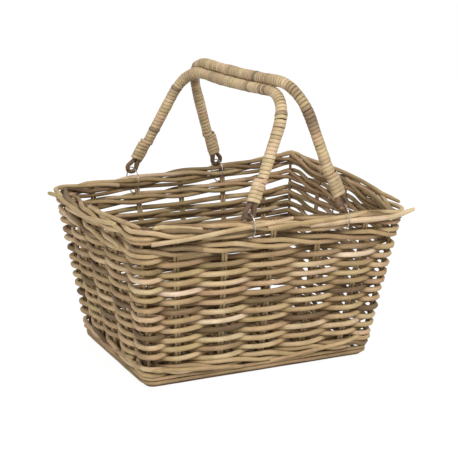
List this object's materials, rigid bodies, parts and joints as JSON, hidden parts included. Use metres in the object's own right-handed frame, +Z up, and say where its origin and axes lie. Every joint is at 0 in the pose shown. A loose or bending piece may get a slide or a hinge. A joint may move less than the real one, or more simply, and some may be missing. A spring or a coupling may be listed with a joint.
{
  "type": "rattan picnic basket",
  "caption": "Oblong woven rattan basket, open at the top, with arched bail handles that swing on wire rings.",
  "frame": {"origin": "on the ground under the middle of the basket", "axes": "+Z up, X along the basket's long side, -Y towards the long side that the picture shows"},
  "size_m": [0.4336, 0.3746, 0.4204],
  "materials": {
    "weave": "satin",
    "stake": "matt",
    "border": "satin",
    "foot": "matt",
    "cane": "satin",
    "peel": "gloss",
    "wire": "weathered"
  },
  "bodies": {
    "basket_body": {"base_wale_1": "border", "base_wale_2": "border", "base_wale_3": "border", "base_wale_4": "border", "border_rod_1": "border", "border_rod_2": "border", "border_rod_3": "border", "border_rod_4": "border", "border_under_rod": "border", "corner_stake_back_left": "stake", "corner_stake_back_right": "stake", "corner_stake_front_left": "stake", "corner_stake_front_right": "stake", "cross_stake_1_a": "stake", "cross_stake_1_b": "stake", "cross_stake_2_a": "stake", "cross_stake_2_b": "stake", "cross_stake_3_a": "stake", "cross_stake_3_b": "stake", "cross_stake_4_a": "stake", "cross_stake_4_b": "stake", "cross_stake_5_a": "stake", "cross_stake_5_b": "stake", "floor_stick_back": "stake", "floor_stick_front": "stake", "floor_weaver_1": "weave", "floor_weaver_2": "weave", "floor_weaver_3": "weave", "floor_weaver_4": "weave", "foot_band_lower": "border", "foot_band_upper": "border", "foot_rod": "foot", "length_stake_1_a": "stake", "length_stake_1_b": "stake", "length_stake_2_a": "stake", "length_stake_2_b": "stake", "length_stake_3_a": "stake", "length_stake_3_b": "stake", "lower_wale_1": "border", "lower_wale_2": "border", "lower_wale_3": "border", "lower_wale_4": "border", "weaver_a_lower": "weave", "weaver_a_middle": "weave", "weaver_a_upper": "weave", "weaver_b_lower": "weave", "weaver_b_middle": "weave", "weaver_b_upper": "weave"},
    "bail_1": {"bail_1_back_lashing": "peel", "bail_1_binding": "peel", "bail_1_cane": "cane", "bail_1_front_lashing": "peel"},
    "bail_2": {"bail_2_back_lashing": "peel", "bail_2_binding": "peel", "bail_2_cane": "cane", "bail_2_front_lashing": "peel"},
    "bail_1_back_ring": {"bail_1_back_ring": "wire"},
    "bail_1_front_ring": {"bail_1_front_ring": "wire"},
    "bail_2_back_ring": {"bail_2_back_ring": "wire"},
    "bail_2_front_ring": {"bail_2_front_ring": "wire"}
  },
  "joints": [
    {"name": "bail_1_swing", "type": "hinge", "parent": "basket_body", "child": "bail_1", "pos_m": [-0.0589, 0, 0.2473], "axis": [0.1186, -0.9929, 0], "range_deg": [0, 114]},
    {"name": "bail_2_swing", "type": "hinge", "parent": "basket_body", "child": "bail_2", "pos_m": [0.0845, 0, 0.2469], "axis": [-0.1186, 0.9929, 0], "range_deg": [0, 100]},
    {"name": "bail_1_back_ring_rock", "type": "hinge", "parent": "basket_body", "child": "bail_1_back_ring", "pos_m": [-0.07851, 0.1642, 0.20768], "axis": [0.9929, 0.1186, 0], "range_deg": [0, 8]},
    {"name": "bail_1_front_ring_rock", "type": "hinge", "parent": "basket_body", "child": "bail_1_front_ring", "pos_m": [-0.03929, -0.1642, 0.21144], "axis": [-0.9929, -0.1186, 0], "range_deg": [0, 8]},
    {"name": "bail_2_back_ring_rock", "type": "hinge", "parent": "basket_body", "child": "bail_2_back_ring", "pos_m": [0.06489, 0.1642, 0.21255], "axis": [0.9929, 0.1186, 0], "range_deg": [0, 8]},
    {"name": "bail_2_front_ring_rock", "type": "hinge", "parent": "basket_body", "child": "bail_2_front_ring", "pos_m": [0.10411, -0.1642, 0.20686], "axis": [-0.9929, -0.1186, 0], "range_deg": [0, 8]}
  ]
}
